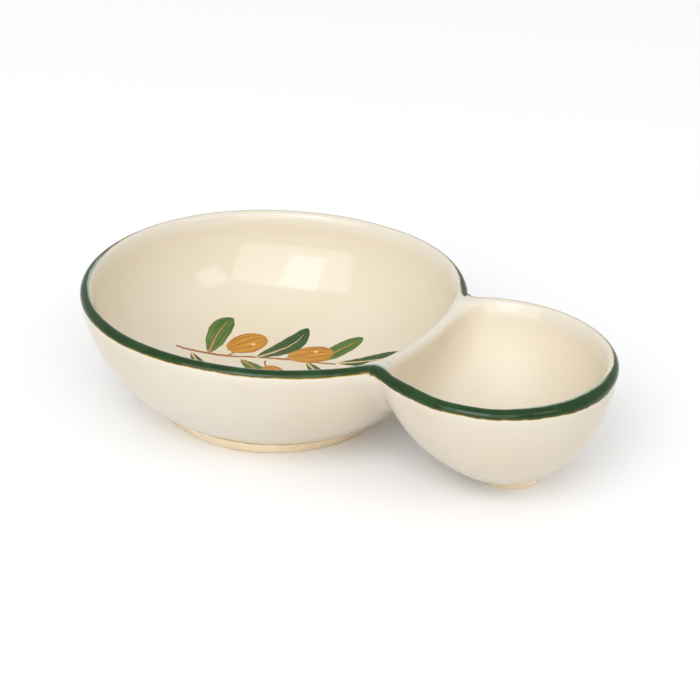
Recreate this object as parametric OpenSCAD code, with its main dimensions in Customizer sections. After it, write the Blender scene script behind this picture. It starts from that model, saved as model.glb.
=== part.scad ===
// Olive dish: a large bowl for the olives and a small one for the pips.
// Each bowl is cut off along the plane where the two meet, and a dividing wall closes the openings.
// The origin lies on the table under the middle of the dish, and the pip bowl is towards +X.

/* [Bowls] */
// Radius of the olive bowl at its rim
olive_rim_r = 69; // [65:0.5:73]
// Radius of the pip bowl at its rim
pip_rim_r = 43; // [41:0.5:45]
// How far the circles of the two rims overlap
rim_overlap = 24; // [22:0.5:26]
// Height of the dish
dish_h = 46.5; // [43.5:0.5:49.5]
// Thickness of the walls, which is also that of the rounded rims
wall_t = 4.5; // [3.8:0.1:5.2]
// Thickness of the floors
floor_t = 4.5; // [3.5:0.1:5.5]

/* [Wall curves] */
// Radius of the curve of the olive bowl's outside, seen in section
olive_curve_r = 50; // [48.5:0.5:54]
// Radius of the curve of the pip bowl's outside, seen in section
pip_curve_r = 56; // [54.5:0.5:60]
// Radius of the bend between the pip bowl's wall and the middle of its floor, seen in section
pip_bend_r = 26; // [22:0.5:28]

/* [Feet] */
// Radius of the olive bowl's foot where it meets the wall
olive_foot_r = 40.5; // [38.5:0.5:42]
// Height of the olive bowl's foot
olive_foot_h = 4; // [3.4:0.1:4.6]
// Width of the olive bowl's foot ring
olive_foot_w = 5; // [4:0.1:6]
// Height of the olive bowl's underside above the table
olive_recess_h = 2.2; // [1.6:0.1:2.8]
// Radius of the pip bowl's foot where it meets the wall
pip_foot_r = 10; // [9:0.1:11]
// Height of the pip bowl's foot
pip_foot_h = 2.8; // [2.5:0.1:3.3]
// Width of the pip bowl's foot ring
pip_foot_w = 4; // [3.5:0.1:4.4]
// Height of the pip bowl's underside above the table
pip_recess_h = 1.4; // [1:0.1:1.8]
// How far the pip bowl leans, from the middle of its rim out to the middle of its foot
pip_lean = 7.5; // [5:0.5:9]
// How much smaller a foot's radius is on the table than at the wall
foot_taper = 0.6; // [0.2:0.1:1]
// Bevel on the edges that a foot stands on
foot_bevel = 0.5; // [0.3:0.1:0.8]

/* [Divider] */
// Thickness of the wall between the bowls
divider_t = 4.5; // [3.8:0.1:5.4]
// How far the ends of the divider's top lie under the rims
divider_drop = 0.5; // [0.3:0.1:1]
// How far the divider's top dips between its ends
divider_dip = 5; // [3:0.5:7]

/* [Rim bands] */
// How far the coloured band reaches down from the top of a rim
band_h = 3.8; // [3.5:0.1:5]
// Thickness of the band's glaze
band_t = 0.5; // [0.3:0.05:0.7]

/* [Hidden] */
$fn = 72;
CREAM = "#e9ddc6";
TAN = "#e0cda4";
GREEN = "#23471f";

long_arc_fn = 1080;
curve_steps = 12;
rim_steps = 8;
bend_steps = 3;
overrun = wall_t;
reach = 4 * (olive_rim_r + pip_rim_r);
rim_mid_z = dish_h - wall_t / 2;
olive_rim_mid = [olive_rim_r - wall_t / 2, rim_mid_z];
pip_rim_mid = [pip_rim_r - wall_t / 2, rim_mid_z];
rim_spacing = olive_rim_r + pip_rim_r - rim_overlap;
dish_mid_x = (rim_spacing + pip_rim_r - olive_rim_r) / 2;
olive_foot_top = [olive_foot_r, olive_foot_h];
pip_foot_top = [pip_foot_r, pip_foot_h];
band_z = dish_h - band_h;

// Middle of an outside curve that starts at the foot's top edge and touches the round rim from without
function curve_mid(foot, rim, curve_r) =
    let (gap = norm(rim - foot))
    let (rim_far = curve_r - wall_t / 2)
    let (along = (pow(curve_r, 2) - pow(rim_far, 2) + pow(gap, 2)) / (2 * gap))
    let (across = sqrt(pow(curve_r, 2) - pow(along, 2)))
    let (way = (rim - foot) / gap)
    foot + along * way + across * [-way[1], way[0]];

// Direction in which one point sees another
function bearing(from, to) = atan2(to[1] - from[1], to[0] - from[0]);

// Points along an arc
function arc(mid, r, start, end, steps) =
    [for (i = [0:steps]) let (a = start + (end - start) * i / steps) mid + r * [cos(a), sin(a)]];

// Direction in which a curve's outer side lies at a height, and its distance from the axis there
function angle_at(mid, r, z) = asin((z - mid[1]) / r);
function radius_at(mid, r, z) = mid[0] + r * cos(angle_at(mid, r, z));

olive_curve_mid = curve_mid([olive_foot_r, olive_foot_h], olive_rim_mid, olive_curve_r);
pip_curve_mid = curve_mid([pip_foot_r, pip_foot_h], pip_rim_mid, pip_curve_r);
olive_rim_angle = bearing(olive_curve_mid, olive_rim_mid);
pip_rim_angle = bearing(pip_curve_mid, pip_rim_mid);

// Radius and middle of an inside curve that touches the round rim from within and a flat floor
function level_r(angle, floor_z) = (rim_mid_z - floor_z - sin(angle) * wall_t / 2) / (1 + sin(angle));
function level_mid(rim, angle, floor_z) =
    rim - (level_r(angle, floor_z) + wall_t / 2) * [cos(angle), sin(angle)];

olive_floor_z = olive_recess_h + floor_t;
olive_inside = concat(arc(level_mid(olive_rim_mid, olive_rim_angle, olive_floor_z),
    level_r(olive_rim_angle, olive_floor_z), olive_rim_angle, -90, curve_steps), [[0, olive_floor_z]]);

// The pip bowl's inside curve touches the rim and a bend, which ends level at the middle of the floor
pip_floor_z = pip_recess_h + floor_t;
pip_flat_r = max(0, level_mid(pip_rim_mid, pip_rim_angle, pip_floor_z)[0]);
pip_bend_mid = [pip_flat_r, pip_floor_z + pip_bend_r];
pip_rim_way = [cos(pip_rim_angle), sin(pip_rim_angle)];
pip_rim_touch = pip_rim_mid - wall_t / 2 * pip_rim_way;
pip_inside_r = (pow(norm(pip_rim_touch - pip_bend_mid), 2) - pow(pip_bend_r, 2))
    / (2 * ((pip_rim_touch - pip_bend_mid) * pip_rim_way - pip_bend_r));
pip_inside_mid = pip_rim_touch - pip_inside_r * pip_rim_way;
pip_bend_angle = bearing(pip_inside_mid, pip_bend_mid);
pip_inside = concat(arc(pip_inside_mid, pip_inside_r, pip_rim_angle, pip_bend_angle, curve_steps),
    arc(pip_bend_mid, pip_bend_r, pip_bend_angle, -90, bend_steps), [[0, pip_floor_z]]);

// Place along the dish, from the olive bowl's axis, where the outsides of the bowls meet at a height
function meeting_x(z) =
    let (olive_r = radius_at(olive_curve_mid, olive_curve_r, z))
    let (pip_r = radius_at(pip_curve_mid, pip_curve_r, z))
    let (pip_x = rim_spacing + pip_lean * (1 - z / rim_mid_z))
    (pow(olive_r, 2) - pow(pip_r, 2) + pow(pip_x, 2)) / (2 * pip_x);

// The plane on which the bowls meet passes through the corner of the rims and a point halfway down
corner_x = meeting_x(rim_mid_z);
seam_tilt = atan2(corner_x - meeting_x(dish_h / 2), rim_mid_z - dish_h / 2);
ridge_end_y = sqrt(pow(olive_rim_mid[0], 2) - pow(corner_x - divider_t / 2, 2));
dip_r = (pow(ridge_end_y, 2) + pow(divider_dip, 2)) / (2 * divider_dip);
dip_angle = asin((ridge_end_y + wall_t) / dip_r);

// Underside of a bowl, the seat of its foot and its outside curve in section, to where the curve ends
function outside(mid, r, foot_top, foot_w, low, end) =
    concat([[0, low], [foot_top[0] - foot_w, low]], arc(mid, r, bearing(mid, foot_top), end, curve_steps));
function olive_outside(end) =
    outside(olive_curve_mid, olive_curve_r, olive_foot_top, olive_foot_w, olive_recess_h, end);
function pip_outside(end) =
    outside(pip_curve_mid, pip_curve_r, pip_foot_top, pip_foot_w, pip_recess_h, end);

// Section of a bowl filled to the top of its rim
module full_section(outside, rim, angle) {
    polygon(concat(outside, arc(rim, wall_t / 2, angle, 90, rim_steps), [[0, dish_h]]));
}

// Section of the space inside a bowl, open at the top
module hollow_section(rim, angle, inside) {
    polygon(concat([[0, dish_h + overrun], [rim[0], dish_h + overrun]],
        arc(rim, wall_t / 2, 90, 180 + angle, rim_steps), inside));
}

// Section of a wall with its rim, with a rebate for the band round the outer half of the rim
module wall_section(outside, mid, r, rim, angle, inside) {
    polygon(concat(outside, arc(mid, r - band_t, angle_at(mid, r - band_t, band_z), angle, 1),
        arc(rim, wall_t / 2 - band_t, angle, 90, rim_steps),
        arc(rim, wall_t / 2, 90, 180 + angle, rim_steps), inside));
}

// Section of the glaze in that rebate
module band_section(mid, r, rim, angle) {
    polygon(concat(arc(mid, r, angle_at(mid, r, band_z), angle, 1),
        arc(rim, wall_t / 2, angle, 90, rim_steps),
        arc(rim, wall_t / 2 - band_t, 90, angle, rim_steps),
        arc(mid, r - band_t, angle, angle_at(mid, r - band_t, band_z), 1)));
}

// Turns a section about the upright axis of the olive bowl
module olive_turn() {
    translate([-dish_mid_x, 0, 0]) rotate_extrude() children();
}

// Turns a section into the pip bowl, which leans out below its rim, starting on the side that is cut off
module pip_turn() {
    translate([rim_spacing - dish_mid_x, 0, 0])
        multmatrix([[1, 0, -pip_lean / rim_mid_z, pip_lean], [0, 1, 0, 0], [0, 0, 1, 0], [0, 0, 0, 1]])
            rotate([0, 0, 180]) rotate_extrude() children();
}

// Puts what is drawn round the seam's plane, with the plane's normal as X, in its place, and back again
module on_seam() {
    translate([corner_x - dish_mid_x, 0, rim_mid_z]) rotate([0, seam_tilt, 0]) children();
}

module off_seam() {
    rotate([0, -seam_tilt, 0]) translate([dish_mid_x - corner_x, 0, -rim_mid_z]) children();
}

// Keep what lies on the olive bowl's or the pip bowl's side of the seam
module olive_side() {
    intersection() {
        children();
        on_seam() translate([-reach, -reach / 2, -reach / 2]) cube(reach);
    }
}

module pip_side() {
    intersection() {
        children();
        on_seam() translate([0, -reach / 2, -reach / 2]) cube(reach);
    }
}

module olive_hollow() {
    olive_turn() hollow_section(olive_rim_mid, olive_rim_angle, olive_inside);
}

module pip_hollow() {
    pip_turn() hollow_section(pip_rim_mid, pip_rim_angle, pip_inside);
}

module olive_bowl() {
    color(CREAM) olive_side() olive_turn()
        wall_section(olive_outside(angle_at(olive_curve_mid, olive_curve_r, band_z)), olive_curve_mid,
            olive_curve_r, olive_rim_mid, olive_rim_angle, olive_inside);
}

module pip_bowl() {
    color(CREAM) pip_side() pip_turn()
        wall_section(pip_outside(angle_at(pip_curve_mid, pip_curve_r, band_z)), pip_curve_mid,
            pip_curve_r, pip_rim_mid, pip_rim_angle, pip_inside);
}

// Half of a wall, on the olive bowl's side -1 or the pip bowl's side 1 of the seam, with a round top that
// dips between its ends. It is turned about an axis high over the dish and drawn round the seam's plane.
module ridge_side(side) {
    low_top = wall_t / 2 - divider_t / 2 - divider_drop - divider_dip;
    translate([0, 0, low_top + dip_r]) rotate([0, 90, 0]) rotate([0, 0, -dip_angle])
        rotate_extrude(angle = 2 * dip_angle, $fn = long_arc_fn) {
            intersection() {
                translate([dip_r, 0]) circle(r = divider_t / 2);
                translate([dip_r - divider_t, (side - 1) * divider_t / 2]) square(divider_t);
            }
            translate([dip_r, (side - 1) * divider_t / 4]) square([dish_h, divider_t / 2]);
        }
}

module divider() {
    color(CREAM) on_seam() {
        intersection() {
            ridge_side(-1);
            off_seam() olive_hollow();
        }
        intersection() {
            ridge_side(1);
            off_seam() pip_hollow();
        }
    }
}

// Section of a foot ring, which narrows downwards and has bevelled edges, run up into the bowl above it
module foot_section(r, w, h) {
    low_r = r - foot_taper;
    polygon([[r - w, foot_bevel], [r - w + foot_bevel, 0], [low_r - foot_bevel, 0], [low_r, foot_bevel],
        [r, h], [r, h + overrun], [r - w, h + overrun]]);
}

module olive_foot() {
    color(TAN) olive_turn() difference() {
        foot_section(olive_foot_r, olive_foot_w, olive_foot_h);
        full_section(olive_outside(olive_rim_angle), olive_rim_mid, olive_rim_angle);
    }
}

module pip_foot() {
    foot_x = rim_spacing + pip_lean * (1 - pip_foot_h / rim_mid_z);
    color(TAN) difference() {
        translate([foot_x - dish_mid_x, 0, 0]) rotate_extrude()
            foot_section(pip_foot_r, pip_foot_w, pip_foot_h);
        pip_turn() full_section(pip_outside(pip_rim_angle), pip_rim_mid, pip_rim_angle);
    }
}

module olive_rim_band() {
    color(GREEN) olive_side() olive_turn()
        band_section(olive_curve_mid, olive_curve_r, olive_rim_mid, olive_rim_angle);
}

module pip_rim_band() {
    color(GREEN) pip_side() pip_turn()
        band_section(pip_curve_mid, pip_curve_r, pip_rim_mid, pip_rim_angle);
}

olive_bowl();
pip_bowl();
divider();
olive_foot();
pip_foot();
olive_rim_band();
pip_rim_band();
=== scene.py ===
import math
import bpy
import numpy as np
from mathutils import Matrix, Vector


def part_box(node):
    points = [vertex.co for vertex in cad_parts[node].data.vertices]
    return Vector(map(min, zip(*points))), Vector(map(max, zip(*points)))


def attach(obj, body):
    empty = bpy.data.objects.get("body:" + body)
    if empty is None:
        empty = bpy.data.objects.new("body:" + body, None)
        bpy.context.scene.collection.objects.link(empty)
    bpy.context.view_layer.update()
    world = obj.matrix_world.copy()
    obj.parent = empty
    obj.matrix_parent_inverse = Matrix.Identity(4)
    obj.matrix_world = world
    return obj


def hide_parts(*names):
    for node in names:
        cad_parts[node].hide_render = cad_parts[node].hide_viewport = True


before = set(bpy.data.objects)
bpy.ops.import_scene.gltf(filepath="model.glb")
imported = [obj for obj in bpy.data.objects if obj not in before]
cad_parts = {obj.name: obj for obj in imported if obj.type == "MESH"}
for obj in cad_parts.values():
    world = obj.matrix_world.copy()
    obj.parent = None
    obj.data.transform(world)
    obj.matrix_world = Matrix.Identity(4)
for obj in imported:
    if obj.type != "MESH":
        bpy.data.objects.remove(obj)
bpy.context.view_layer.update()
mm = 0.001

print("dish: frame loaded")


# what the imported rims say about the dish, in millimetres
def nodeBox(node):
    low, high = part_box(node)
    return np.array(low) / mm, np.array(high) / mm


oliveBand = nodeBox("olive_rim_band")
pipBand = nodeBox("pip_rim_band")
glazeProud = 0.1                  # how far the green glaze stands out of the body
boxSpare = 0.02                   # keeps the wide rim, which strays from round, inside the solids' box
dishTop = oliveBand[1][2] - glazeProud
oliveRimR = oliveBand[1][1] - glazeProud - boxSpare
pipRimR = pipBand[1][1] - glazeProud
oliveX = oliveBand[0][0] + oliveBand[1][1]
pipX = pipBand[1][0] - pipBand[1][1]

# the thrown form, as the drawing of the dish has it
dishForm = {
    "wall": 4.5,
    "oliveCurve": 50.0,           # radius of the olive bowl's outside in section
    "pipCurve": 56.0,
    "oliveFootR": 40.5,           # where that curve comes down to the foot
    "oliveFootTop": 4.0,
    "pipFootR": 10.0,
    "pipFootTop": 2.8,
    "oliveFloor": 6.7,            # height of the floor inside
    "pipFloor": 5.9,
    "oliveUnder": 2.2,            # height of the underside
    "pipUnder": 1.4,
    "pipBend": 26.0,              # radius inside, where the wall bends into the floor
    "pipLean": 7.5,               # how far the pip bowl leans out below its rim
    "ridgeDrop": 0.4,             # how far the ends of the ridge between the bowls lie under the rims
    "ridgeDip": 3.2,              # how much lower its middle lies
    "ridgeEnd": 30.5,             # how far its ends are from its middle
    "ridgeBeside": (4.0, 12.0),   # how far beside the seam its top passes into the rims' tops
    "ridgeInto": 5.0,             # how far in from the outline it has its whole depth
    "web": 7.0,                   # how softly the ridge runs into the bowls inside
    "innerRoll": 5.5,             # how far down the rims' inner sides roll over
    "ridgeRoll": 3.2,
    "notchNear": 8.0,             # how softly the rims run into one another outside
    "notchFar": 6.0,
    "notchBelow": 6.5,            # the same for the walls under them
    "notchHeights": (26.0, 42.0), # between which the one passes into the other
}

# where the hand-thrown rims stray from round: direction in degrees, half width and amount
oliveStray = [(-80, 24, -1.4), (-28, 12, 1.8), (60, 20, 1.3), (74, 10, 0.35), (120, 22, -1.0)]
pipStray = [(-134, 11, -2.0), (-104, 15, -1.6), (-60, 10, 0.5), (6, 32, -0.35)]

# the joined clay is remeshed twice, and its points are set on the form and evened out by turns
skin = {"voxel": 1.0, "remeshes": 2, "settles": 4, "smooth": 6, "ease": 0.5}

# how points find the form: the number of steps, the flattest slope that is trusted and the longest step
toSkin = {"steps": 6, "flattest": 0.05, "longest": 1.5}
toCrest = {"steps": 25, "flattest": 0.2, "longest": 0.8, "softest": 0.6}
probe = 0.02                      # how far apart two points are that measure a slope

rimHalf = dishForm["wall"] / 2
rimMidZ = dishTop - rimHalf


# selection and mesh helpers
def deselectAll():
    if bpy.context.object and bpy.context.object.mode != "OBJECT":
        bpy.ops.object.mode_set(mode="OBJECT")
    bpy.ops.object.select_all(action="DESELECT")


def pick(*objs):
    deselectAll()
    for obj in objs:
        obj.select_set(True)
    bpy.context.view_layer.objects.active = objs[0]


def applyPlace(obj):
    pick(obj)
    bpy.ops.object.transform_apply(location=True, rotation=True, scale=True)


def edit(obj, mode="FACE"):
    # edit mode with all of the piece selected
    pick(obj)
    bpy.ops.object.mode_set(mode="EDIT")
    bpy.ops.mesh.select_mode(type=mode)
    bpy.ops.mesh.select_all(action="SELECT")


def endEdit():
    bpy.ops.object.mode_set(mode="OBJECT")


def faceOutwards():
    bpy.ops.mesh.select_all(action="SELECT")
    bpy.ops.mesh.normals_make_consistent(inside=False)


def named(name):
    # the object that was added last, with its mesh named like it
    obj = bpy.context.object
    obj.name = name
    obj.data.name = name
    return obj


def meshPoints(obj):
    points = np.empty(len(obj.data.vertices) * 3)
    obj.data.vertices.foreach_get("co", points)
    return points.reshape(-1, 3) / mm


def setPoints(obj, points):
    obj.data.vertices.foreach_set("co", (points * mm).ravel())
    obj.data.update()


def setMark(obj, label, values):
    # a number at each vertex, which the glazes read
    layer = obj.data.attributes.new(label, "FLOAT", "POINT")
    layer.data.foreach_set("value", values.astype(np.float32))


def roundTurn(steps):
    return np.arange(steps) * 2 * math.pi / steps


def raysAt(azimuths):
    return np.stack([np.cos(azimuths), np.sin(azimuths)], 1)


def atHeight(plan, z):
    return np.concatenate([plan, np.broadcast_to(z, len(plan))[:, None]], 1)


# arcs of the section
def direction(start, end):
    return math.atan2(end[1] - start[1], end[0] - start[0])


def curveMid(foot, rim, r):
    # middle of the outside curve, which starts at the foot and touches the round of the rim
    gap = math.dist(foot, rim)
    far = r - rimHalf
    along = (r ** 2 - far ** 2 + gap ** 2) / (2 * gap)
    across = math.sqrt(r ** 2 - along ** 2)
    way = (np.array(rim) - foot) / gap
    return np.array(foot) + along * way + across * np.array([-way[1], way[0]])


def arcPoints(mid, r, start, end, steps):
    angles = np.linspace(start, end, steps + 1)
    return [(mid[0] + r * math.cos(a), mid[1] + r * math.sin(a)) for a in angles]


def makeBowl(rimX, rimR, curveR, foot, floorZ, under, bend, lean, stray):
    rim = np.array([rimR - rimHalf, rimMidZ])
    mid = curveMid(foot, rim, curveR)
    angle = direction(mid, rim)
    way = np.array([math.cos(angle), math.sin(angle)])
    levelR = (rimMidZ - floorZ - way[1] * rimHalf) / (1 + way[1])
    levelMid = rim - (levelR + rimHalf) * way
    bowl = {"x": rimX, "rim": rim, "mid": mid, "r": curveR, "angle": angle, "floor": floorZ, "under": under,
            "lean": lean, "stray": stray}
    if bend is None:
        # one curve from the rim to the level floor
        bowl.update(insideR=levelR, insideMid=levelMid, bend=levelR, bendMid=levelMid,
                    bendAngle=-math.pi / 2)
        return bowl
    bendMid = np.array([max(0, levelMid[0]), floorZ + bend])
    touch = rim - rimHalf * way
    span = touch - bendMid
    insideR = (np.dot(span, span) - bend ** 2) / (2 * (np.dot(span, way) - bend))
    insideMid = touch - insideR * way
    bowl.update(insideR=insideR, insideMid=insideMid, bend=bend, bendMid=bendMid,
                bendAngle=direction(insideMid, bendMid))
    return bowl


oliveBowl = makeBowl(oliveX, oliveRimR, dishForm["oliveCurve"],
                     (dishForm["oliveFootR"], dishForm["oliveFootTop"]),
                     dishForm["oliveFloor"], dishForm["oliveUnder"], None, 0.0, oliveStray)
pipBowl = makeBowl(pipX, pipRimR, dishForm["pipCurve"],
                   (dishForm["pipFootR"], dishForm["pipFootTop"]),
                   dishForm["pipFloor"], dishForm["pipUnder"], dishForm["pipBend"], dishForm["pipLean"],
                   pipStray)


def axisX(bowl, z):
    return bowl["x"] + bowl["lean"] * (1 - z / rimMidZ)


# where the outsides of the bowls meet at a height, and the seam plane through two such places
def outsideR(bowl, z):
    return bowl["mid"][0] + math.sqrt(bowl["r"] ** 2 - (z - bowl["mid"][1]) ** 2)


def meetingX(z):
    apart = axisX(pipBowl, z) - oliveX
    return oliveX + (outsideR(oliveBowl, z) ** 2 - outsideR(pipBowl, z) ** 2 + apart ** 2) / (2 * apart)


seamX = meetingX(rimMidZ)
seamTilt = math.atan2(seamX - meetingX(dishTop / 2), rimMidZ - dishTop / 2)
cornerY = math.sqrt(oliveBowl["rim"][0] ** 2 - (seamX - oliveX) ** 2)


# the form as a field
def fade(x, start, end):
    t = np.clip((x - start) / (end - start), 0, 1)
    return t * t * (3 - 2 * t)


def softUnion(a, b, soft):
    near = np.maximum(soft - np.abs(a - b), 0) / soft
    return np.minimum(a, b) - near ** 2 * soft / 4


def bowlDepths(bowl, points):
    # how far points lie outside the middle of a bowl's wall, and how deep they are in the clay from within
    dx, y, z = points[:, 0] - axisX(bowl, points[:, 2]), points[:, 1], points[:, 2]
    azimuth = np.degrees(np.arctan2(y, dx))
    stray = sum(amount * np.exp(-((azimuth - way) / width) ** 2) for way, width, amount in bowl["stray"])
    r = np.hypot(dx, y) - stray * np.clip(z / dishTop, 0, 1)
    low = np.minimum(z, rimMidZ)
    outside = np.hypot(r - bowl["mid"][0], low - bowl["mid"][1]) - bowl["r"]
    outside = np.maximum(outside, bowl["under"] - z) + rimHalf
    fromMid = np.stack([r - bowl["insideMid"][0], low - bowl["insideMid"][1]], 1)
    inside = np.hypot(fromMid[:, 0], fromMid[:, 1]) - bowl["insideR"]
    bendWay = bowl["bendMid"] - bowl["insideMid"]
    bent = np.hypot(r - bowl["bendMid"][0], low - bowl["bendMid"][1]) - bowl["bend"]
    inside = np.where(fromMid[:, 1] * bendWay[0] - fromMid[:, 0] * bendWay[1] < 0, bent, inside)
    inside = np.where(r < bowl["bendMid"][0], bowl["floor"] - z, inside)
    return outside, inside


def joinedOutline(points, oliveOut, pipOut):
    y, z = points[:, 1], points[:, 2]
    notch = np.where(y < 0, dishForm["notchNear"], dishForm["notchFar"])
    below = dishForm["notchBelow"]
    return softUnion(oliveOut, pipOut, below + (notch - below) * fade(z, *dishForm["notchHeights"]))


def outlineAt(points):
    return joinedOutline(points, bowlDepths(oliveBowl, points)[0], bowlDepths(pipBowl, points)[0])


def seamSide(points):
    return (points[:, 0] - seamX) * math.cos(seamTilt) - (points[:, 2] - rimMidZ) * math.sin(seamTilt)


def onRidge(points, out):
    beside = fade(np.abs(seamSide(points)), *dishForm["ridgeBeside"])
    return (1 - beside) * fade(-out, 0, dishForm["ridgeInto"])


def rimTop(points, out):
    # height of the rims' tops, which dips along the ridge between the bowls
    along = points[:, 1] / dishForm["ridgeEnd"]
    dip = dishForm["ridgeDrop"] + dishForm["ridgeDip"] * np.maximum(1 - along ** 2, 0)
    return dishTop - dip * onRidge(points, out)


def dishField(points):
    # roughly the distance to the dish's skin, below nought in the clay
    oliveOut, oliveIn = bowlDepths(oliveBowl, points)
    pipOut, pipIn = bowlDepths(pipBowl, points)
    z = points[:, 2]
    out = joinedOutline(points, oliveOut, pipOut)
    shape = np.where(z < rimMidZ, out - rimHalf, np.hypot(np.maximum(out, 0), z - rimMidZ) - rimHalf)
    aside = seamSide(points)
    roll = dishForm["innerRoll"] + (dishForm["ridgeRoll"] - dishForm["innerRoll"]) * onRidge(points, out)
    over = (z - rimTop(points, out)) * rimHalf / roll + rimHalf
    for inside, ridgeDeep in ((oliveIn, aside + rimHalf), (pipIn, rimHalf - aside)):
        deep = -softUnion(-inside, -ridgeDeep, dishForm["web"])
        cut = np.where(over > 0, np.hypot(np.maximum(rimHalf - deep, 0), over) - rimHalf, -deep)
        shape = np.maximum(shape, cut)
    return shape


def settle(points, level=0.0):
    # moves points along the slope of the form's field onto its skin, or to a level over or under it
    points = points.copy()
    for _ in range(toSkin["steps"]):
        here = dishField(points)
        slope = np.stack([(dishField(points + probe * axis) - here) / probe for axis in np.eye(3)], 1)
        square = np.maximum(np.sum(slope ** 2, 1), toSkin["flattest"])
        points -= np.clip((here - level) / square, -toSkin["longest"], toSkin["longest"])[:, None] * slope
    return points


def notchPlace(side, aside=8.0, across=6.0, step=0.05):
    # where the middles of the two rims meet as thrown, on one side of the dish: the best place of a fine grid
    columns = seamX + np.linspace(-aside, aside, round(2 * aside / step) + 1)
    rows = side * (cornerY + np.linspace(-across, across, round(2 * across / step) + 1))
    x, y = np.meshgrid(columns, rows)
    points = np.stack([x.ravel(), y.ravel(), np.full(x.size, rimMidZ)], 1)
    off = sum(np.abs(bowlDepths(bowl, points)[0]) for bowl in (oliveBowl, pipBowl))
    return Vector(points[np.argmin(off)])


nearNotch, farNotch = notchPlace(-1), notchPlace(1)
print(f"dish: rims meet {-nearNotch.y:.1f} mm before and {farNotch.y:.1f} mm behind the middle")

# the clay before it is joined: points along the arcs of the section, and round the bowls and the wall
turning = {"curve": 14, "rim": 8, "bend": 3, "olive": 128, "pip": 96, "wall": 96}
lastRing = 0.05                   # radians that the last ring inside a bowl keeps off its lowest point


def bowlOutline(bowl):
    lowAngle = math.asin((bowl["under"] - bowl["mid"][1]) / bowl["r"])
    outline = arcPoints(bowl["mid"], bowl["r"], lowAngle, bowl["angle"], turning["curve"])
    outline += arcPoints(bowl["rim"], rimHalf, bowl["angle"], math.pi + bowl["angle"], turning["rim"])[1:]
    outline += arcPoints(bowl["insideMid"], bowl["insideR"], bowl["angle"], bowl["bendAngle"],
                         turning["curve"])[1:]
    if bowl["bendAngle"] > -math.pi / 2:
        outline += arcPoints(bowl["bendMid"], bowl["bend"], bowl["bendAngle"], -math.pi / 2 + lastRing,
                             turning["bend"])[1:]
    return outline


# a solid turned by hand: a disc, extruded ring by ring up the outside, over the rim and down the inside
def turned(name, bowl, around):
    outline = bowlOutline(bowl)
    deselectAll()
    r, z = outline[0]
    bpy.ops.mesh.primitive_circle_add(vertices=around, radius=r * mm, fill_type="NGON",
                                      location=(axisX(bowl, z) * mm, 0, z * mm))
    obj = named(name)
    applyPlace(obj)
    edit(obj)
    for (r0, z0), (r1, z1) in zip(outline, outline[1:]):
        move = ((axisX(bowl, z1) - axisX(bowl, z0)) * mm, 0, (z1 - z0) * mm)
        bpy.ops.mesh.extrude_region_move(TRANSFORM_OT_translate={"value": move})
        bpy.ops.transform.resize(value=(r1 / r0, r1 / r0, 1),
                                 center_override=(axisX(bowl, z1) * mm, 0, z1 * mm))
    faceOutwards()
    endEdit()
    return obj


def cutAtSeam(obj, side):
    # the plane leans as the seam does and goes through both places where the rims meet
    edit(obj)
    along = (farNotch - nearNotch).normalized()
    normal = along.cross(Vector((math.sin(seamTilt), 0, math.cos(seamTilt))))
    bpy.ops.mesh.bisect(plane_co=nearNotch * mm, plane_no=normal, use_fill=True,
                        clear_outer=side < 0, clear_inner=side > 0)
    endEdit()


# lowest height at which the outsides of the bowls still meet, looked for from well under it
heights = np.arange(10, rimMidZ, 0.25)
lowestMeeting = min(z for z in heights if outsideR(oliveBowl, z) > meetingX(z) - oliveX)


def makeWall():
    # the wall between the bowls starts as a flat disc with its top cut off
    deselectAll()
    bpy.ops.mesh.primitive_cylinder_add(vertices=turning["wall"], radius=1, depth=1,
                                        location=(seamX * mm, 0, rimMidZ * mm),
                                        rotation=(0, math.pi / 2 + seamTilt, 0))
    wall = named("dividingWall")
    wall.scale = ((rimMidZ - lowestMeeting) * mm, cornerY * mm, dishForm["wall"] * mm)
    applyPlace(wall)
    edit(wall)
    top = dishTop - dishForm["ridgeDrop"] - dishForm["ridgeDip"]
    bpy.ops.mesh.bisect(plane_co=(seamX * mm, 0, top * mm), plane_no=(0, 0, 1), use_fill=True,
                        clear_outer=True)
    endEdit()
    return wall


def makeBody():
    olive = turned("oliveTurned", oliveBowl, turning["olive"])
    cutAtSeam(olive, -1)
    pip = turned("pipTurned", pipBowl, turning["pip"])
    cutAtSeam(pip, 1)
    wall = makeWall()
    pick(olive, pip, wall)
    bpy.ops.object.join()
    body = named("dishBody")
    for turn in range(skin["settles"]):
        if turn < skin["remeshes"]:
            remesh = body.modifiers.new("clay", "REMESH")
            remesh.mode = "VOXEL"
            remesh.voxel_size = skin["voxel"] * mm
            bpy.ops.object.modifier_apply(modifier=remesh.name)
        setPoints(body, settle(meshPoints(body)))
        smooth = body.modifiers.new("even", "SMOOTH")
        smooth.factor = skin["ease"]
        smooth.iterations = skin["smooth"]
        bpy.ops.object.modifier_apply(modifier=smooth.name)
    setPoints(body, settle(meshPoints(body)))
    pick(body)
    bpy.ops.object.shade_smooth()
    return body


body = makeBody()
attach(body, "root")
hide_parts("olive_bowl", "pip_bowl", "divider")
print("dish: body", len(body.data.polygons), "faces")

# the green glaze runs over the outer half of the rims, from about their tops down to a wavy brushed edge
bandForm = {
    "around": 720,                                     # points round the rim
    "across": 15,                                      # points across the glaze, and as many back under it
    "deep": 0.35,                                      # how far it reaches into the body
    "edgeRun": (0.0, 0.07, 0.2),                       # how its edges round over: along the glaze
    "edgeRise": (-0.2, glazeProud / 2, glazeProud),    # and up to its full height
    "backIn": 0.3,                                     # how far its back stays in from the edges
    "beyond": 1.4,                                     # past the seam it stands out wide, to be cut off
    "topWave": 2.0,                                    # how much its upper edge wavers, in degrees
    "onTop": (99, 112),                                # starts that count as lying on the rim's top
    "sameSpot": 1e-7,
}

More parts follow.
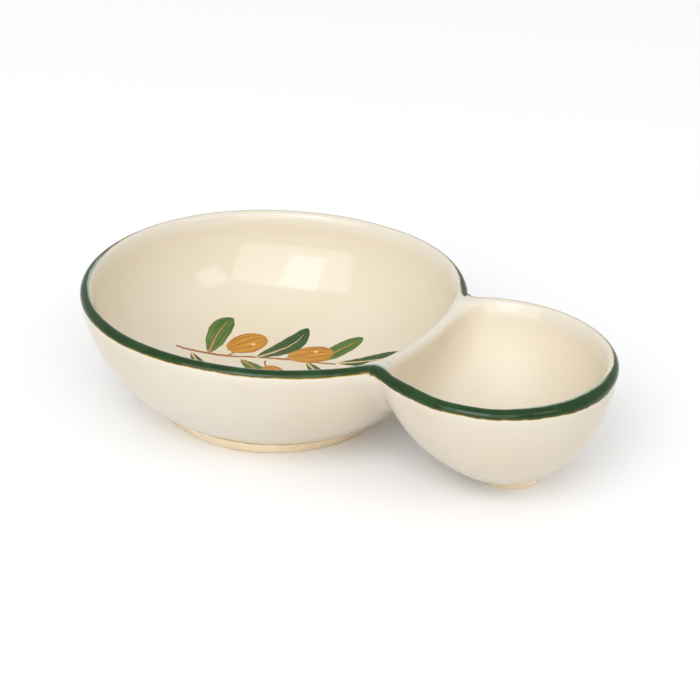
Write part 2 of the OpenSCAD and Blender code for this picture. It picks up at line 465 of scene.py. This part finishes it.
# swells and sags of the glaze's edges: direction in degrees, half width, amount and how flat they are
oliveEdge = {
    "top": 74.0,                  # where it starts, in degrees up round the rim from outside
    "topSwells": [(-80, 98, 44, 6), (34, 12, 24, 2)],
    "drop": 1.85,                 # how far under the rim's top it ends
    "sags": [(-140, 40, 0.9, 2), (-24, 13, -0.05, 2), (150, 40, 0.5, 2)],
    "wave": 0.1,
    "hidden": 22.0,               # degrees to each side of the other bowl's direction that are cut off
}
pipEdge = {
    "top": 72.0,
    "topSwells": [(-70, 92, 46, 6)],
    "drop": 2.6,
    "sags": [(-12, 24, 1.15, 2), (60, 30, 0.5, 2), (-105, 16, 0.35, 2), (-146, 22, -0.9, 4)],
    "wave": 0.13,
    "hidden": 45.0,
}

# beats round the rim, share and start of each wave that the brush left
brushBeats = ((7, 0.8, 1.0), (17, 0.6, 2.2), (41, 0.45, 0.4), (83, 0.3, 4.0))
topShift = 2                      # the upper edge has the same waves, so far further round


def crestPath(bowl, azimuths):
    # the middle of the rim, the way outwards and how far out the skin lies, along rays from the bowl's axis
    rays = raysAt(azimuths)
    axis = np.array([bowl["x"], 0.0])

    def outAt(plan):
        return outlineAt(atHeight(plan, rimMidZ))

    r = np.full(len(azimuths), bowl["rim"][0])
    for _ in range(toCrest["steps"]):
        here = outAt(axis + r[:, None] * rays)
        slope = (outAt(axis + (r[:, None] + probe) * rays) - here) / probe
        r -= np.clip(here / np.maximum(slope, toCrest["flattest"]), -toCrest["longest"], toCrest["longest"])
    plan = axis + r[:, None] * rays
    here = outAt(plan)
    slope = np.stack([(outAt(plan + probe * way) - here) / probe for way in np.eye(2)], 1)
    length = np.linalg.norm(slope, axis=1)
    return plan, slope / length[:, None], rimHalf / np.clip(length, toCrest["softest"], 1)


def swell(azimuths, swells):
    degrees = np.degrees(azimuths)
    return sum(amount * np.exp(-(((degrees - way + 180) % 360 - 180) / width) ** flat)
               for way, width, amount, flat in swells)


def brushWave(azimuths):
    return sum(share * np.sin(beats * azimuths + start) for beats, share, start in brushBeats)


def bandRuns(start, edge, azimuths):
    # how far along the section each point lies: from the inner edge to the lower one, then back under it
    drop = edge["drop"] + swell(azimuths, edge["sags"]) + edge["wave"] * brushWave(azimuths)
    last = np.arcsin(np.clip(1 - drop / rimHalf, 0, 1))
    length = (rimHalf * (start - last) + np.maximum(drop - rimHalf, 0))[:, None]
    ends, across, backIn = np.array(bandForm["edgeRun"]), bandForm["across"], bandForm["backIn"]
    middle = np.linspace(0, 1, across - 2 * len(ends) + 2)[1:-1]
    return length, np.concatenate([
        np.tile(ends, (len(azimuths), 1)), ends[-1] + middle * (length - 2 * ends[-1]), length - ends[::-1],
        backIn + np.linspace(1, 0, across) * (length - 2 * backIn)], 1)


def bandLevels():
    # how high over the body's skin each of those points lies
    rise, across = list(bandForm["edgeRise"]), bandForm["across"]
    front = rise + [glazeProud] * (across - 2 * len(rise)) + rise[::-1]
    return np.array(front + [-bandForm["deep"]] * across)


def makeBand(name, bowl, side, edge):
    around, across = bandForm["around"], 2 * bandForm["across"]
    deselectAll()
    bpy.ops.mesh.primitive_grid_add(x_subdivisions=around, y_subdivisions=across, size=2)
    band = named(name)
    # the grid is rolled up: a column for each place round the rim, a row for each point of the section
    column, row = np.round((meshPoints(band)[:, :2] * mm + 1) / 2 * (around, across)).astype(int).T
    order = column % around * across + row % across
    azimuths = roundTurn(around) - math.pi
    fromSeam = np.degrees(np.abs(azimuths)) if side < 0 else 180 - np.degrees(np.abs(azimuths))
    seen = fromSeam > edge["hidden"]
    outward = raysAt(azimuths)
    plan = np.array([bowl["x"], 0.0]) + bandForm["beyond"] * bowl["rim"][0] * outward
    reach = np.full(around, rimHalf)
    plan[seen], outward[seen], reach[seen] = crestPath(bowl, azimuths[seen])
    topWave = bandForm["topWave"] * brushWave(azimuths + topShift)
    start = np.radians(edge["top"] + swell(azimuths, edge["topSwells"]) + topWave)
    length, run = bandRuns(start, edge, azimuths)
    turn = np.maximum(start[:, None] - run / rimHalf, 0)
    below = np.maximum(run - rimHalf * start[:, None], 0)
    points = np.empty((around, across, 3))
    points[..., :2] = plan[:, None] + (reach[:, None] * np.cos(turn))[..., None] * outward[:, None]
    points[..., 2] = rimMidZ + rimHalf * np.sin(turn) - below
    levels = np.tile(bandLevels(), seen.sum())
    points[seen] = settle(points[seen].reshape(-1, 3), levels).reshape(-1, across, 3)
    setPoints(band, points.reshape(-1, 3)[order])
    onTop = np.tile(fade(np.degrees(start), *bandForm["onTop"])[:, None], (1, across))
    for label, values in (("fromTop", run), ("toEdge", length - run), ("onTop", onTop)):
        setMark(band, label, values.ravel()[order])
    edit(band)
    bpy.ops.mesh.remove_doubles(threshold=bandForm["sameSpot"])
    endEdit()
    cutAtSeam(band, side)
    edit(band)
    faceOutwards()
    endEdit()
    bpy.ops.object.shade_smooth()
    return band


oliveRimBand = makeBand("oliveRimBand", oliveBowl, -1, oliveEdge)
pipRimBand = makeBand("pipRimBand", pipBowl, 1, pipEdge)
for piece, node in ((oliveRimBand, "olive_rim_band"), (pipRimBand, "pip_rim_band")):
    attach(piece, "root")
    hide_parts(node)
print("dish: bands", len(oliveRimBand.data.polygons), len(pipRimBand.data.polygons), "faces")

# the foot rings, set a little off the bowls' axes by the hand that luted them on
feet = {
    "oliveFootRing": {"node": "olive_foot", "mid": (-30.7, -1.1), "outer": 39.2, "flare": 0.62,
                      "inner": 36.0},
    "pipFootRing": {"node": "pip_foot", "mid": (65.3, 3.0), "outer": 10.9, "flare": 0.2, "inner": 7.2},
}
footShape = {
    "around": 192,
    "bevel": 0.5,
    "hand": ((2, 0.25, 0.7), (5, 0.15, 2)),    # beats round the ring, amount and start of its unevenness
    "innerShare": 0.5,                         # how much of that shows inside
    "buried": 0.5,                             # how deep the walls run into the clay
    "lowest": 1.0,                             # where the search for the clay starts
    "climb": 0.15,                             # its step upwards
    "climbs": 60,
    "aside": 1.2,                              # how far out from the outer wall's foot it looks
    "leastTop": 1.5,                           # lowest that the outer wall's top may be
    "crown": (1.5, 0.3),                       # from there, how far in and up the section goes in the clay
    "outerShares": (0.66, 0.33, 0.0),          # heights of the rings down the outer wall
    "round": (0.25, 0.15),                     # shares of the bevel, in and up, at the last ring
    "sharp": 40,                               # degrees past which an edge stays sharp
}


def heightInClay(plan):
    # how high a wall has to rise from the table to end inside the clay
    z = np.full(len(plan), footShape["lowest"])
    for _ in range(footShape["climbs"]):
        buried = dishField(atHeight(plan, z)) < -footShape["buried"]
        z = np.where(buried, z, z + footShape["climb"])
    return z


def footLevels(spec, azimuths):
    # radius and height of each ring of the section: the flat, up inside, over in the clay and down outside
    rays, mid, bevel = raysAt(azimuths), np.array(spec["mid"]), footShape["bevel"]
    hand = sum(amount * np.sin(beats * azimuths + start) for beats, amount, start in footShape["hand"])
    outer = spec["outer"] + hand
    inner = spec["inner"] + footShape["innerShare"] * hand
    innerTop = heightInClay(mid + inner[:, None] * rays)
    outerTop = heightInClay(mid + (outer + footShape["aside"])[:, None] * rays)
    outerTop = np.maximum(outerTop, footShape["leastTop"])
    inward, upward = footShape["crown"]
    level = np.ones(len(azimuths))
    levels = [(outer - bevel, 0 * level), (inner + bevel, 0 * level), (inner, bevel * level),
              (inner, innerTop), (outer + spec["flare"] * outerTop - inward, outerTop + upward),
              (outer + spec["flare"] * outerTop, outerTop)]
    for share in footShape["outerShares"]:
        height = bevel + share * (outerTop - bevel)
        levels.append((outer + spec["flare"] * height, height))
    inShare, upShare = footShape["round"]
    levels.append((outer - bevel * inShare, upShare * bevel * level))
    return levels


def makeFoot(name, spec):
    around = footShape["around"]
    azimuths = roundTurn(around)
    levels = footLevels(spec, azimuths)
    deselectAll()
    bpy.ops.mesh.primitive_circle_add(vertices=around, radius=spec["outer"] * mm, fill_type="NOTHING")
    ring = named(name)
    # the circle is extruded once for each further ring of the section, and then every ring gets its place
    edit(ring, "VERT")
    for _ in levels[1:]:
        bpy.ops.mesh.extrude_region_move(TRANSFORM_OT_translate={"value": (0, 0, mm)})
    endEdit()
    x, y, z = meshPoints(ring).T
    step = np.round(z).astype(int)
    spoke = np.round(np.arctan2(y, x) / (2 * math.pi / around)).astype(int) % around
    r, height = (np.stack(values)[step, spoke] for values in zip(*levels))
    setPoints(ring, atHeight(np.array(spec["mid"]) + r[:, None] * raysAt(azimuths)[spoke], height))
    edit(ring, "EDGE")
    bpy.ops.mesh.select_all(action="DESELECT")
    bpy.ops.mesh.select_non_manifold()
    bpy.ops.mesh.bridge_edge_loops()
    faceOutwards()
    endEdit()
    bpy.ops.object.shade_smooth_by_angle(angle=math.radians(footShape["sharp"]))
    return ring


footRings = [makeFoot(name, spec) for name, spec in feet.items()]
for ring in footRings:
    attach(ring, "root")
    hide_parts(feet[ring.name]["node"])
print("dish: feet", *(len(ring.data.polygons) for ring in footRings), "faces")


# node helpers
def rgb(red, green, blue):
    # a colour as seen, 0 to 255, made linear
    return tuple(c / 12.92 if c < 0.04045 else ((c + 0.055) / 1.055) ** 2.4
                 for c in (red / 255, green / 255, blue / 255)) + (1.0,)


def addNode(tree, kind, inputs=None, **settings):
    made = tree.nodes.new(kind)
    for key, value in settings.items():
        setattr(made, key, value)
    for key, value in (inputs or {}).items():
        if isinstance(value, bpy.types.NodeSocket):
            tree.links.new(value, made.inputs[key])
        else:
            made.inputs[key].default_value = value
    return made


def maths(tree, operation, *values, clamp=False):
    made = addNode(tree, "ShaderNodeMath", dict(enumerate(values)), operation=operation, use_clamp=clamp)
    return made.outputs[0]


def times(tree, a, b):
    return maths(tree, "MULTIPLY", a, b)


def minus(tree, a, b):
    return maths(tree, "SUBTRACT", a, b)


def between(tree, value, low, high, start=0.0, end=1.0):
    made = addNode(tree, "ShaderNodeMapRange", {0: value, 1: low, 2: high, 3: start, 4: end},
                   interpolation_type="SMOOTHSTEP")
    return made.outputs[0]


def blend(tree, share, under, over):
    return addNode(tree, "ShaderNodeMix", {0: share, 6: under, 7: over}, data_type="RGBA").outputs[2]


def clouds(tree, place, scale, detail=3.0):
    return addNode(tree, "ShaderNodeTexNoise", {"Vector": place, "Scale": scale, "Detail": detail,
                                                "Roughness": 0.55}).outputs[0]


def tremor(tree, place, scale, detail, amount):
    # clouds that sway by up to half the amount to each side of nought
    return times(tree, minus(tree, clouds(tree, place, scale, detail), 0.5), amount)


def mark(tree, name):
    return addNode(tree, "ShaderNodeAttribute", attribute_name=name).outputs["Fac"]


def glossy(name, rough, ior=1.52):
    mat = bpy.data.materials.new(name)
    mat.use_nodes = True
    tree = mat.node_tree
    shader = tree.nodes["Principled BSDF"]
    shader.inputs["Roughness"].default_value = rough
    shader.inputs["IOR"].default_value = ior
    place = addNode(tree, "ShaderNodeTexCoord").outputs["Object"]
    return mat, tree, shader, place


def addBump(tree, shader, height, distance):
    bump = addNode(tree, "ShaderNodeBump", {"Height": height, "Distance": distance, "Strength": 1.0})
    tree.links.new(bump.outputs[0], shader.inputs["Normal"])


# the painter's brush, in millimetres
brush = {
    "shakeScale": 0.22, "shake": 1.3,             # how the edges of a stroke waver
    "streakLong": 0.07, "streakClose": 7.0,       # the bristles' streaks along it
    "streaks": (0.3, 0.76),
    "thinnest": 0.2,
    "rimEdge": (0.5, 0.1),                        # how wide the paint gathers at its edge
    "ribTaper": 1.1,                              # how the rib thins out along it
    "ribEdge": (-0.1, 0.12),
    "ribEnd": (0.93, 0.84),
    "edge": (0.0, 0.22),
}


def strokeGroup():
    # one brush stroke along its own line: a leaf with its rib, an olive, a gleam or a stalk
    group = bpy.data.node_groups.new("brushStroke", "ShaderNodeTree")
    sockets = {"Under": "Color", "Place": "Vector", "Length": "Float", "Width": "Float", "Bend": "Float",
               "Taper": "Float", "Late": "Float", "Dark": "Color", "Light": "Color", "Rim": "Color",
               "Rib": "Color", "RibWidth": "Float"}
    for name, kind in sockets.items():
        group.interface.new_socket(name=name, in_out="INPUT", socket_type="NodeSocket" + kind)
    group.interface.new_socket(name="Colour", in_out="OUTPUT", socket_type="NodeSocketColor")
    given = group.nodes.new("NodeGroupInput").outputs
    x, y, _ = addNode(group, "ShaderNodeSeparateXYZ", {0: given["Place"]}).outputs
    along = maths(group, "DIVIDE", x, given["Length"])
    late = maths(group, "POWER", maths(group, "MAXIMUM", along, 0.0), given["Late"])
    # an arch from nought at the stroke's ends to one where it is widest
    arch = maths(group, "MULTIPLY", times(group, late, minus(group, 1.0, late)), 4.0, clamp=True)
    shake = tremor(group, given["Place"], brush["shakeScale"], 2.0, brush["shake"])
    across = maths(group, "ADD", minus(group, y, times(group, given["Bend"], arch)), shake)
    half = times(group, maths(group, "POWER", arch, given["Taper"]), times(group, given["Width"], 0.5))
    aside = maths(group, "ABSOLUTE", across)
    depth = minus(group, half, aside)
    # the bristles leave streaks along the stroke, and paint gathers at its edge
    spread = maths(group, "DIVIDE", across, maths(group, "MAXIMUM", half, brush["thinnest"]))
    bristles = addNode(group, "ShaderNodeCombineXYZ", {
        0: times(group, x, brush["streakLong"]), 1: times(group, spread, brush["streakClose"]),
        2: given["Length"]}).outputs[0]
    streak = between(group, clouds(group, bristles, 1.0, 2.0), *brush["streaks"])
    paint = blend(group, streak, given["Dark"], given["Light"])
    paint = blend(group, between(group, depth, *brush["rimEdge"]), paint, given["Rim"])
    ribHalf = times(group, given["RibWidth"], minus(group, brush["ribTaper"], along))
    rib = times(group, between(group, minus(group, ribHalf, aside), *brush["ribEdge"]),
                between(group, along, *brush["ribEnd"]))
    paint = blend(group, rib, paint, given["Rib"])
    outcome = blend(group, between(group, depth, *brush["edge"]), given["Under"], paint)
    end = group.nodes.new("NodeGroupOutput")
    group.links.new(outcome, end.inputs["Colour"])
    return group


# the sprig on the floor of the olive bowl: place from the bowl's middle in mm, degrees, length, width, bend
sprig = {
    "stalks": [((-41, -4), 29, 60, 1.5, 2.5), ((-25, 6), 78, 7, 1.0, 0.6), ((-7, 16.5), 62, 7, 1.0, 0.6),
               ((-12, 12.5), -45, 7, 1.0, -0.6)],
    "leaves": [((-31.5, 3.5), 101, 22, 8.0, 1.5, "fresh"), ((-16, 12), 76, 27, 8.6, -1.6, "deep"),
               ((3.5, 22.5), 63, 21, 7.6, 1.2, "fresh"), ((11, 26), 14, 27, 6.6, 1.8, "deep"),
               ((-36, -1.5), -22, 25, 7.2, -1.6, "deep"), ((-20, 8), -27, 27, 8.0, 1.5, "fresh"),
               ((1, 20.5), -24, 28, 7.4, -1.6, "deep")],
    "olives": [((-27.5, 10.5), 66, 17, 11.0, 0.0), ((-6.5, 19.5), 44, 17.5, 11.5, 0.0),
               ((-9, 9.5), -38, 16.5, 11.0, 0.0)],
    "gleams": [((-22.5, 18.8), 66, 1.8, 1.5, 0.0), ((-0.5, 28), 44, 1.8, 1.5, 0.0),
               ((-3, 7), -38, 1.8, 1.4, 0.0)],
}

# each kind of stroke: how wide its rib is, how blunt it is and how far along it is widest, and its paints
strokeKinds = {
    "stalk": {"RibWidth": 0.0, "Taper": 0.12, "Late": 1.0, "Dark": rgb(146, 92, 40),
              "Light": rgb(176, 116, 56), "Rim": rgb(140, 96, 46), "Rib": rgb(160, 110, 60)},
    "deep": {"RibWidth": 0.5, "Taper": 0.56, "Late": 1.3, "Dark": rgb(24, 58, 18),
             "Light": rgb(56, 96, 34), "Rim": rgb(92, 98, 44), "Rib": rgb(212, 178, 130)},
    "fresh": {"RibWidth": 0.45, "Taper": 0.56, "Late": 1.3, "Dark": rgb(46, 86, 26),
              "Light": rgb(104, 130, 48), "Rim": rgb(110, 106, 48), "Rib": rgb(186, 130, 76)},
    "olive": {"RibWidth": 0.0, "Taper": 0.5, "Late": 1.0, "Dark": rgb(164, 102, 12),
              "Light": rgb(214, 154, 42), "Rim": rgb(160, 106, 26), "Rib": rgb(214, 150, 48)},
    "gleam": {"RibWidth": 0.0, "Taper": 0.5, "Late": 1.0, "Dark": rgb(236, 206, 130),
              "Light": rgb(240, 214, 150), "Rim": rgb(216, 168, 74), "Rib": rgb(240, 214, 150)},
}


def paintSprig(tree, place, colour):
    group = strokeGroup()
    strokes = [(*stalk, "stalk") for stalk in sprig["stalks"]] + sprig["leaves"]
    strokes += [(*olive, "olive") for olive in sprig["olives"]]
    strokes += [(*gleam, "gleam") for gleam in sprig["gleams"]]
    for (x, y), angle, length, width, bend, kind in strokes:
        own = addNode(tree, "ShaderNodeMapping", {
            "Vector": place, "Location": ((oliveX + x) * mm, y * mm, 0),
            "Rotation": (0, 0, math.radians(angle)), "Scale": (mm, mm, mm)}, vector_type="TEXTURE").outputs[0]
        given = {"Under": colour, "Place": own, "Length": length, "Width": width, "Bend": bend}
        colour = addNode(tree, "ShaderNodeGroup", given | strokeKinds[kind], node_tree=group).outputs[0]
    return colour


# the glaze of the body
creamForm = {
    "crest": rgb(216, 208, 192), "crestRun": (0.0, 6.5),      # whiter so far under a rim's top, in mm: a painted sheen
    "ridgeNarrow": 0.9,                                       # how much sooner it ends on the ridge
    # painted light: the outside and the inside are copies of the one cream glaze, the inside painted lighter
    # and warmer as painted bounce light
    "outside": rgb(208, 199, 183), "outsideWarm": rgb(205, 193, 172),
    "inside": rgb(222, 212, 194), "insideWarm": rgb(219, 206, 182),
    "driftScale": 16.0, "drift": (0.35, 0.68),                # how it drifts from plain to warm
    "wall": rgb(219, 207, 184), "wallRise": (0.012, 0.034),   # the inner walls, from which heights, in m: painted warm bounce light up them
    "rimBlur": 0.8, "seamBlur": 1.0,                          # how softly insides and bowls part
    "rough": 0.09, "satin": 0.46, "satinUnder": (0.5, 0.1),
    "waveScale": 38.0, "wave": 0.00012,
}


def markBody():
    # where the inside is, how near the top of a rim or of the ridge, and which bowl it is
    points = meshPoints(body)
    out = outlineAt(points)
    under = (rimTop(points, out) - points[:, 2]) * (1 + creamForm["ridgeNarrow"] * onRidge(points, out))
    rimBlur, seamBlur = creamForm["rimBlur"], creamForm["seamBlur"]
    setMark(body, "inside", fade(-out, -rimBlur, rimBlur))
    setMark(body, "crest", 1 - fade(under, *creamForm["crestRun"]))
    setMark(body, "pip", fade(points[:, 0] - seamX, -seamBlur, seamBlur))


def creamGlaze():
    mat, tree, shader, place = glossy("creamGlaze", creamForm["rough"])
    inside, crest = mark(tree, "inside"), mark(tree, "crest")
    drift = between(tree, clouds(tree, place, creamForm["driftScale"]), *creamForm["drift"])
    # painted light: the outside gets the darker copy of the cream, the inside the lighter, warmer one
    outer = blend(tree, drift, creamForm["outside"], creamForm["outsideWarm"])
    inner = blend(tree, drift, creamForm["inside"], creamForm["insideWarm"])
    height = addNode(tree, "ShaderNodeSeparateXYZ", {0: place}).outputs["Z"]
    # painted warm bounce light, rising up the inner walls
    inner = blend(tree, between(tree, height, *creamForm["wallRise"]), inner, creamForm["wall"])
    colour = blend(tree, inside, outer, paintSprig(tree, place, inner))
    # painted sheen near the tops of the rims and the ridge
    colour = blend(tree, crest, colour, creamForm["crest"])
    tree.links.new(colour, shader.inputs["Base Color"])
    # the glaze in the small bowl has fired to a satin
    inPip = times(tree, mark(tree, "pip"), inside)
    satin = times(tree, inPip, between(tree, crest, *creamForm["satinUnder"]))
    rough = between(tree, satin, 0.0, 1.0, creamForm["rough"], creamForm["satin"])
    tree.links.new(rough, shader.inputs["Roughness"])
    addBump(tree, shader, clouds(tree, place, creamForm["waveScale"], 2.0), creamForm["wave"])
    return mat


# the glaze of the bands: each pair is where a colour has gone and where it is whole, in mm from an edge
greenForm = {
    "deep": rgb(18, 50, 12), "light": rgb(28, 62, 20),
    "cloudScale": 130.0, "cloud": (0.42, 0.66),
    "brown": rgb(76, 78, 30), "brownEdge": (1.1, 0.35),
    "ochre": rgb(190, 152, 66), "ochreEdge": (0.42, 0.2),
    "olive": rgb(178, 156, 92), "topEdge": (0.42, 0.12),      # the upper edge's line, where it lies outside
    "mint": rgb(150, 170, 150), "mintEdge": (1.1, 0.55),      # thin and pale, where it lies on the rim's top
    "shakeScale": 420.0, "shake": 0.5,
    "rough": 0.12, "ior": 1.4, "waveScale": 160.0, "wave": 0.00012,
}


def greenGlaze():
    mat, tree, shader, place = glossy("rimGreen", greenForm["rough"], greenForm["ior"])
    shake = tremor(tree, place, greenForm["shakeScale"], 3.0, greenForm["shake"])
    fromTop = maths(tree, "ADD", mark(tree, "fromTop"), shake)
    toEdge = maths(tree, "ADD", mark(tree, "toEdge"), shake)
    onTop = mark(tree, "onTop")
    cloud = between(tree, clouds(tree, place, greenForm["cloudScale"]), *greenForm["cloud"])
    colour = blend(tree, cloud, greenForm["deep"], greenForm["light"])
    colour = blend(tree, between(tree, toEdge, *greenForm["brownEdge"]), colour, greenForm["brown"])
    colour = blend(tree, between(tree, toEdge, *greenForm["ochreEdge"]), colour, greenForm["ochre"])
    topLine = blend(tree, onTop, greenForm["olive"], greenForm["mint"])
    colour = blend(tree, between(tree, fromTop, *greenForm["topEdge"]), colour, topLine)
    thin = times(tree, between(tree, fromTop, *greenForm["mintEdge"]), onTop)
    colour = blend(tree, thin, colour, greenForm["mint"])
    tree.links.new(colour, shader.inputs["Base Color"])
    addBump(tree, shader, clouds(tree, place, greenForm["waveScale"], 2.0), greenForm["wave"])
    return mat


# the thin glaze of the feet
tanForm = {
    "tan": rgb(240, 220, 186), "deep": rgb(230, 206, 166), "deepScale": 60.0, "deepCloud": (0.35, 0.7),
    "pale": rgb(244, 230, 206), "paleScale": 240.0, "paleCloud": (0.5, 0.75),
    "rough": 0.3, "grainScale": 500.0, "grain": 0.00006,
}


def tanGlaze():
    mat, tree, shader, place = glossy("footGlaze", tanForm["rough"])
    deep = between(tree, clouds(tree, place, tanForm["deepScale"], 4.0), *tanForm["deepCloud"])
    pale = between(tree, clouds(tree, place, tanForm["paleScale"]), *tanForm["paleCloud"])
    colour = blend(tree, pale, blend(tree, deep, tanForm["tan"], tanForm["deep"]), tanForm["pale"])
    tree.links.new(colour, shader.inputs["Base Color"])
    addBump(tree, shader, clouds(tree, place, tanForm["grainScale"]), tanForm["grain"])
    return mat


markBody()
body.data.materials.append(creamGlaze())
green = greenGlaze()
for piece in (oliveRimBand, pipRimBand):
    piece.data.materials.append(green)
tan = tanGlaze()
for ring in footRings:
    ring.data.materials.append(tan)
print("dish: glazes")

# the photograph's view, fitted to the outline of the dish
view = {"turn": 31.04, "rise": 27.26, "roll": 2.36, "away": 726.96, "lens": 102.857, "sensor": 36,
        "target": (-8.50, 16.32, 20.0)}


def skyWay(turn, rise):
    # the direction that is so many degrees round and above the table
    turn, rise = math.radians(turn), math.radians(rise)
    return Vector((math.cos(rise) * math.cos(turn), math.cos(rise) * math.sin(turn), math.sin(rise)))


def addToScene(name, data):
    obj = bpy.data.objects.new(name, data)
    bpy.context.scene.collection.objects.link(obj)
    return obj


def makeCamera():
    data = bpy.data.cameras.new("camera")
    data.lens = view["lens"]
    data.sensor_width = view["sensor"]
    cam = addToScene("camera", data)
    back = skyWay(view["turn"] - 90, view["rise"])
    cam.location = Vector(view["target"]) * mm + back * view["away"] * mm
    facing = back.to_track_quat("Z", "Y").to_euler()
    facing.rotate_axis("Z", math.radians(view["roll"]))
    cam.rotation_euler = facing
    bpy.context.scene.camera = cam


makeCamera()
print("dish: camera")

# pale floor and soft studio light
studio = {"floorSize": 4, "paper": (0.92, 0.92, 0.92, 1), "paperRough": 0.9,
          "air": (1, 1, 1, 1), "airGlow": 0.74}

deselectAll()
bpy.ops.mesh.primitive_plane_add(size=studio["floorSize"], location=(0, 0, 0))
floor = named("studioFloor")
paper, _, paperShader, _ = glossy("studioPaper", studio["paperRough"])
paperShader.inputs["Base Color"].default_value = studio["paper"]
floor.data.materials.append(paper)

world = bpy.data.worlds.new("studio")
world.use_nodes = True
airInputs = world.node_tree.nodes["Background"].inputs
airInputs["Color"].default_value = studio["air"]
airInputs["Strength"].default_value = studio["airGlow"]
bpy.context.scene.view_settings.view_transform = "Standard"
bpy.context.scene.world = world

# each softbox stands where the photograph's shine comes from: seen from a place on the dish, its direction
# round and above the table, how wide and high it looks in degrees, and how bright it is
softboxes = {
    "window": {"from": (-54, 50, 25), "turn": -78, "rise": 41, "wide": 21, "high": 34,
               "glow": 2.5, "shine": 1.0, "tint": (0.87, 0.97, 1.12)},
    "sideWindow": {"from": (90, -26, 45), "turn": -3, "rise": 42, "wide": 18, "high": 18,
                   "glow": 2.0, "shine": 1.0, "tint": (1, 1, 1)},
    "frontFill": {"from": (0, 0, 20), "turn": -72, "rise": 38, "wide": 70, "high": 45,
                  "glow": 1.7, "shine": 0.2, "tint": (1, 1, 1)},
}
softboxAway = 3.0                 # metres


def softbox(name, spec):
    way = skyWay(spec["turn"], spec["rise"])
    data = bpy.data.lights.new(name, "AREA")
    data.shape = "RECTANGLE"
    halves = [math.tan(math.radians(spec[side] / 2)) for side in ("wide", "high")]
    data.size, data.size_y = (2 * softboxAway * half for half in halves)
    data.specular_factor = spec["shine"]
    data.color = spec["tint"]
    data.energy = spec["glow"] * math.pi * data.size * data.size_y
    lamp = addToScene(name, data)
    lamp.location = Vector(spec["from"]) * mm + softboxAway * way
    lamp.rotation_euler = way.to_track_quat("Z", "Y").to_euler()


for name, spec in softboxes.items():
    softbox(name, spec)
print("dish: studio")
